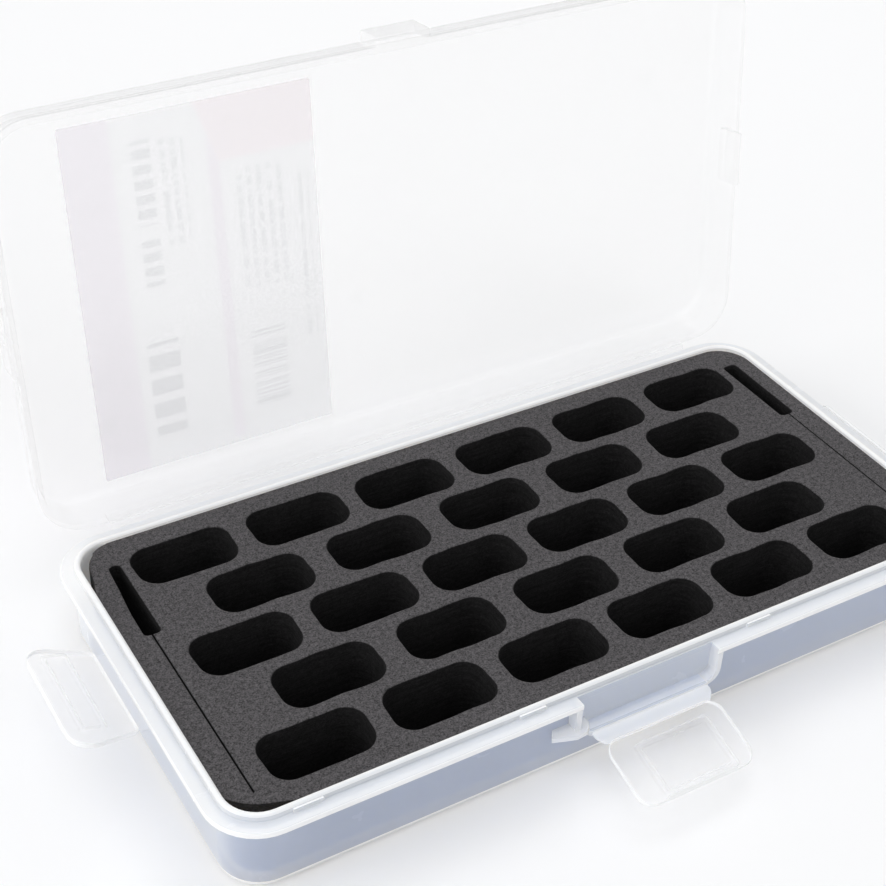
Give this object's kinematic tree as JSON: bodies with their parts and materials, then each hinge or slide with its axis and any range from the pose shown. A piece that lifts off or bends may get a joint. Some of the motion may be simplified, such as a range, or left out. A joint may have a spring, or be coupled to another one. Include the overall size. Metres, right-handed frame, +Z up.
{
  "type": "bobbin box",
  "caption": "Flat translucent plastic box with a hinged lid, snap latches on three sides and a black foam insert with rounded pockets for sewing bobbins.",
  "frame": {"origin": "centre of the tray's underside, on the table", "axes": "+X along the box towards its right end, +Y towards the lid's hinge at the back, +Z up"},
  "size_m": [0.2055, 0.1308, 0.1098],
  "materials": {
    "clear_plastic": "milky translucent polypropylene, satin",
    "black_foam": "closed-cell foam, fine grain, matt",
    "label_paper": null
  },
  "bodies": {
    "base": {"base_tray": "clear_plastic", "foam_insert": "black_foam", "foam_floor_pad": "black_foam", "lid_hinge_film": "clear_plastic", "front_latch_film": "clear_plastic", "left_latch_film": "clear_plastic", "right_latch_film": "clear_plastic"},
    "lid": {"lid": "clear_plastic", "label": "label_paper"},
    "front_latch": {"front_latch": "clear_plastic"},
    "left_latch": {"left_latch": "clear_plastic"},
    "right_latch": {"right_latch": "clear_plastic"}
  },
  "joints": [
    {"name": "lid_hinge", "type": "hinge", "parent": "base", "child": "lid", "pos_m": [0, 0.046, 0.0178], "axis": [1, 0, 0], "range_deg": [-83, 97]},
    {"name": "front_latch_hinge", "type": "hinge", "parent": "base", "child": "front_latch", "pos_m": [0, -0.04735, 0.0097], "axis": [-1, 0, 0], "range_deg": [-15, 105]},
    {"name": "left_latch_hinge", "type": "hinge", "parent": "base", "child": "left_latch", "pos_m": [-0.0912, 0, 0.01675], "axis": [0, 1, 0], "range_deg": [-108, 72]},
    {"name": "right_latch_hinge", "type": "hinge", "parent": "base", "child": "right_latch", "pos_m": [0.0912, 0, 0.01675], "axis": [0, -1, 0], "range_deg": [-30, 150]}
  ]
}
